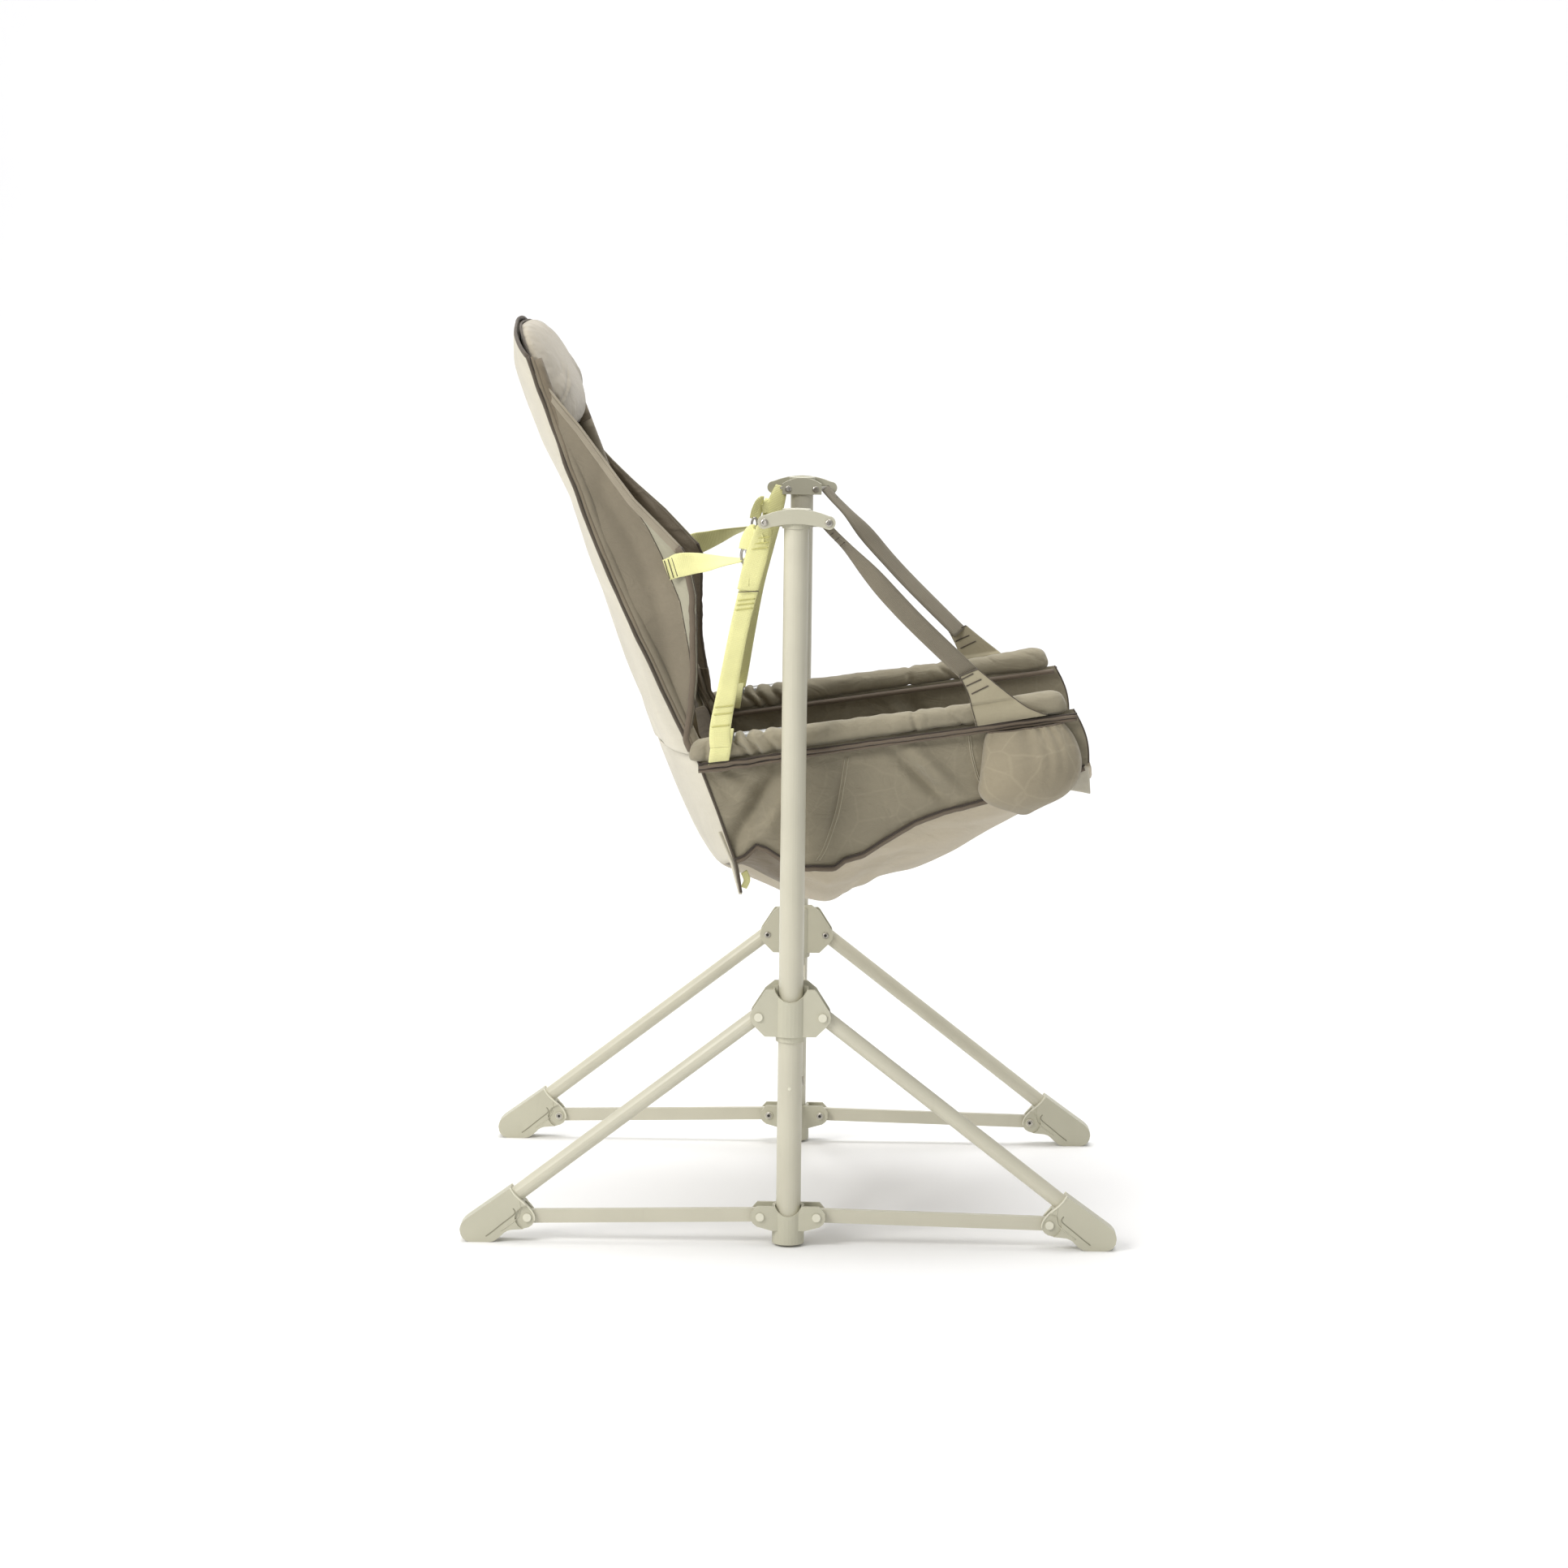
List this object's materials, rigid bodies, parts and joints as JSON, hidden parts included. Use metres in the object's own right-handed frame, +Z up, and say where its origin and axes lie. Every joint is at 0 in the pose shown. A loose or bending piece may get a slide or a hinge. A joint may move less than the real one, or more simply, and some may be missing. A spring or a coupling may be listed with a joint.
{
  "type": "suspended camp chair",
  "caption": "Folding camp chair with a padded fabric seat that swings on webbing straps between two splayed-leg side stands.",
  "frame": {"origin": "floor level, midway between the two posts and between the front and rear feet", "axes": "+X the way the sitter faces, +Y to the sitter's left, +Z up"},
  "size_m": [0.8, 0.6386, 1.11],
  "materials": {
    "frame_paint": "satin warm beige powder coat",
    "hub_plastic": "moulded, satin",
    "fastener": "rivets, pins and screws",
    "taupe_fabric": "fine polyester weave",
    "arm_fabric": "padded polyester weave",
    "cream_fabric": "fine polyester weave",
    "pillow_fabric": "padded polyester weave",
    "yellow_webbing": "woven webbing",
    "taupe_webbing": "woven webbing",
    "pole": "plain tube"
  },
  "bodies": {
    "frame_right": {"post_right": "frame_paint", "top_bracket_right": "hub_plastic", "lower_hub_right": "hub_plastic", "strap_pin_front_right": "fastener", "strut_pin_front_right": "fastener", "strap_pin_rear_right": "fastener", "strut_pin_rear_right": "fastener"},
    "slider_right": {"mid_hub_right": "hub_plastic", "leg_rivet_front_right": "fastener", "leg_rivet_rear_right": "fastener"},
    "leg_front_right": {"leg_front_right": "frame_paint", "foot_front_right": "hub_plastic", "foot_pin_front_right": "fastener"},
    "strut_front_right": {"strut_front_right": "frame_paint"},
    "leg_rear_right": {"leg_rear_right": "frame_paint", "foot_rear_right": "hub_plastic", "foot_pin_rear_right": "fastener"},
    "strut_rear_right": {"strut_rear_right": "frame_paint"},
    "strap_rear_right": {"rear_strap_right": "yellow_webbing"},
    "seat_right": {"arm_pole_right": "pole", "arm_pad_right": "arm_fabric", "side_panel_right": "taupe_fabric", "pouch_right": "taupe_fabric", "seat_pan": "cream_fabric"},
    "strap_front_right": {"front_strap_right": "taupe_webbing"},
    "back_right": {"back_pole_right": "pole", "wing_right": "taupe_fabric", "recline_strap_right": "yellow_webbing", "back_panel": "cream_fabric", "pillow": "pillow_fabric"},
    "frame_left": {"post_left": "frame_paint", "top_bracket_left": "hub_plastic", "lower_hub_left": "hub_plastic", "strap_pin_front_left": "fastener", "strut_pin_front_left": "fastener", "strap_pin_rear_left": "fastener", "strut_pin_rear_left": "fastener"},
    "slider_left": {"mid_hub_left": "hub_plastic", "leg_rivet_front_left": "fastener", "leg_rivet_rear_left": "fastener"},
    "leg_front_left": {"leg_front_left": "frame_paint", "foot_front_left": "hub_plastic", "foot_pin_front_left": "fastener"},
    "strut_front_left": {"strut_front_left": "frame_paint"},
    "leg_rear_left": {"leg_rear_left": "frame_paint", "foot_rear_left": "hub_plastic", "foot_pin_rear_left": "fastener"},
    "strut_rear_left": {"strut_rear_left": "frame_paint"},
    "strap_rear_left": {"rear_strap_left": "yellow_webbing"},
    "seat_left": {"arm_pole_left": "pole", "arm_pad_left": "arm_fabric", "side_panel_left": "taupe_fabric", "pouch_left": "taupe_fabric"},
    "strap_front_left": {"front_strap_left": "taupe_webbing"},
    "back_left": {"back_pole_left": "pole", "wing_left": "taupe_fabric", "recline_strap_left": "yellow_webbing"},
    "cross_bar_a": {"cross_bar_a": "frame_paint", "cross_pin": "fastener"},
    "cross_bar_b": {"cross_bar_b": "frame_paint"}
  },
  "joints": [
    {"name": "fold", "type": "hinge", "parent": "frame_right", "child": "cross_bar_a", "pos_m": [0.008, -0.259, 0.046], "axis": [1, 0, 0], "range_deg": [0, 56], "deforming": ["seat_pan", "back_panel", "pillow", "side_panel_right", "side_panel_left"]},
    {"name": "cross_pivot", "type": "hinge", "parent": "cross_bar_a", "child": "cross_bar_b", "pos_m": [0, 0, 0.143], "axis": [1, 0, 0], "range_deg": [-113, 0]},
    {"name": "stand_left", "type": "hinge", "parent": "cross_bar_b", "child": "frame_left", "pos_m": [-0.008, 0.259, 0.046], "axis": [1, 0, 0], "range_deg": [0, 57]},
    {"name": "hub_right", "type": "hinge", "parent": "cross_bar_b", "child": "slider_right", "pos_m": [-0.008, -0.259, 0.24], "axis": [1, 0, 0], "range_deg": [0, 57]},
    {"name": "hub_left", "type": "hinge", "parent": "cross_bar_a", "child": "slider_left", "pos_m": [0.008, 0.259, 0.24], "axis": [1, 0, 0], "range_deg": [-57, 0]},
    {"name": "strut_front_right", "type": "hinge", "parent": "frame_right", "child": "strut_front_right", "pos_m": [0.0344, -0.295, 0.037], "axis": [0, -1, 0], "range_deg": [0, 60]},
    {"name": "leg_front_right", "type": "hinge", "parent": "strut_front_right", "child": "leg_front_right", "pos_m": [0.318, -0.295, 0.031], "axis": [0, -1, 0], "range_deg": [-86, 0]},
    {"name": "strut_rear_right", "type": "hinge", "parent": "frame_right", "child": "strut_rear_right", "pos_m": [-0.0344, -0.295, 0.037], "axis": [0, 1, 0], "range_deg": [0, 60]},
    {"name": "leg_rear_right", "type": "hinge", "parent": "strut_rear_right", "child": "leg_rear_right", "pos_m": [-0.318, -0.295, 0.031], "axis": [0, 1, 0], "range_deg": [-86, 0]},
    {"name": "strut_front_left", "type": "hinge", "parent": "frame_left", "child": "strut_front_left", "pos_m": [0.0344, 0.295, 0.037], "axis": [0, -1, 0], "range_deg": [0, 60]},
    {"name": "leg_front_left", "type": "hinge", "parent": "strut_front_left", "child": "leg_front_left", "pos_m": [0.318, 0.295, 0.031], "axis": [0, -1, 0], "range_deg": [-86, 0]},
    {"name": "strut_rear_left", "type": "hinge", "parent": "frame_left", "child": "strut_rear_left", "pos_m": [-0.0344, 0.295, 0.037], "axis": [0, 1, 0], "range_deg": [0, 60]},
    {"name": "leg_rear_left", "type": "hinge", "parent": "strut_rear_left", "child": "leg_rear_left", "pos_m": [-0.318, 0.295, 0.031], "axis": [0, 1, 0], "range_deg": [-86, 0]},
    {"name": "swing", "type": "hinge", "parent": "frame_right", "child": "strap_rear_right", "pos_m": [-0.03, -0.289, 0.883], "axis": [0, -1, 0], "range_deg": [-8, 8]},
    {"name": "seat_tilt_right", "type": "hinge", "parent": "strap_rear_right", "child": "seat_right", "pos_m": [-0.087, -0.268, 0.617], "axis": [0, -1, 0], "range_deg": [-2, 2]},
    {"name": "front_strap_right", "type": "hinge", "parent": "seat_right", "child": "strap_front_right", "pos_m": [0.211, -0.268, 0.694], "axis": [0, -1, 0], "range_deg": [-2.5, 2.5]},
    {"name": "swing_left", "type": "hinge", "parent": "frame_left", "child": "strap_rear_left", "pos_m": [-0.03, 0.289, 0.883], "axis": [0, -1, 0], "range_deg": [-8.5, 8.5]},
    {"name": "seat_tilt_left", "type": "hinge", "parent": "strap_rear_left", "child": "seat_left", "pos_m": [-0.087, 0.268, 0.617], "axis": [0, -1, 0], "range_deg": [-2, 2]},
    {"name": "front_strap_left", "type": "hinge", "parent": "seat_left", "child": "strap_front_left", "pos_m": [0.211, 0.268, 0.694], "axis": [0, -1, 0], "range_deg": [-2.5, 2.5]},
    {"name": "recline", "type": "hinge", "parent": "seat_right", "child": "back_right", "pos_m": [-0.118, -0.243, 0.605], "axis": [0, -1, 0], "range_deg": [0, 12], "deforming": ["seat_pan", "back_panel", "side_panel_right", "side_panel_left"]},
    {"name": "recline_left", "type": "hinge", "parent": "seat_left", "child": "back_left", "pos_m": [-0.118, 0.243, 0.605], "axis": [0, -1, 0], "range_deg": [-0.5, 12.5]}
  ],
  "couplings": [
    {"joint": "cross_pivot", "follows": "fold", "ratio": -2},
    {"joint": "stand_left", "follows": "fold", "ratio": 1},
    {"joint": "hub_right", "follows": "fold", "ratio": 1},
    {"joint": "hub_left", "follows": "fold", "ratio": -1},
    {"joint": "strut_front_right", "follows": "fold", "ratio": 1.0698},
    {"joint": "leg_front_right", "follows": "fold", "ratio": -1.5255},
    {"joint": "strut_rear_right", "follows": "fold", "ratio": 1.0698},
    {"joint": "leg_rear_right", "follows": "fold", "ratio": -1.5255},
    {"joint": "strut_front_left", "follows": "fold", "ratio": 1.0698},
    {"joint": "leg_front_left", "follows": "fold", "ratio": -1.5255},
    {"joint": "strut_rear_left", "follows": "fold", "ratio": 1.0698},
    {"joint": "leg_rear_left", "follows": "fold", "ratio": -1.5255},
    {"joint": "seat_tilt_right", "follows": "swing", "ratio": -0.1615},
    {"joint": "front_strap_right", "follows": "swing", "ratio": 0.227},
    {"joint": "swing_left", "follows": "swing", "ratio": 1},
    {"joint": "seat_tilt_left", "follows": "swing", "ratio": -0.1615},
    {"joint": "front_strap_left", "follows": "swing", "ratio": 0.227},
    {"joint": "recline_left", "follows": "recline", "ratio": 1}
  ]
}
